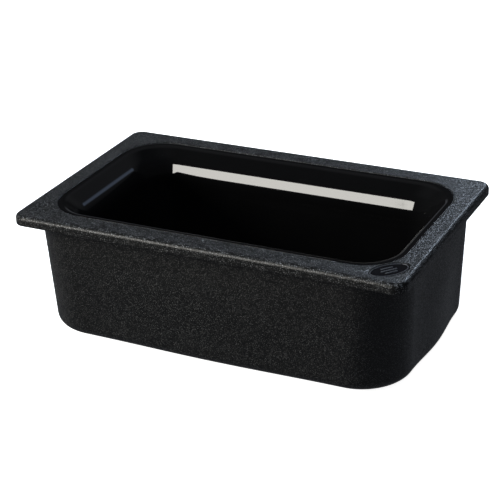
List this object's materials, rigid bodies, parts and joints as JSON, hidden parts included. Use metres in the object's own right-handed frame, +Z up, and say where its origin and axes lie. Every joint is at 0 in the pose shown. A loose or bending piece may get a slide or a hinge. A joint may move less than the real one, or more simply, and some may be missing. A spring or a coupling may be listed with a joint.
{
  "type": "cold food pan",
  "caption": "Double-walled rectangular cold pan with a textured outer shell and rim, a glossy well with a sloping shoulder, and gel and foam sealed between the walls.",
  "frame": {"origin": "centre of the base, on the surface that the pan stands on", "axes": "+X along the pan's length, +Y towards the long side away from the badge's corner, +Z up out of the well"},
  "size_m": [0.53, 0.325, 0.165],
  "materials": {
    "outer_shell": "fine haircell texture, black",
    "rim_frame": "fine haircell texture, black",
    "inner_liner": "high gloss black",
    "gel": "soft translucent gel",
    "foam": "closed-cell foam",
    "spacers": "moulded satin",
    "weld_bead": "fused bead",
    "plugs": "moulded satin",
    "seals": "rubber",
    "badge": "satin with raised ring and bars",
    "adhesive": "adhesive film"
  },
  "bodies": {
    "root": {"outer_shell": "outer_shell", "rim_frame": "rim_frame", "inner_liner": "inner_liner", "refrigerant_gel": "gel", "foam_core": "foam", "floor_spacers": "spacers", "liner_weld": "weld_bead", "rim_weld": "weld_bead", "fill_plug": "plugs", "fill_plug_seal": "seals", "vent_plug": "plugs", "vent_plug_seal": "seals", "badge_disc": "badge", "badge_adhesive": "adhesive"}
  },
  "joints": []
}
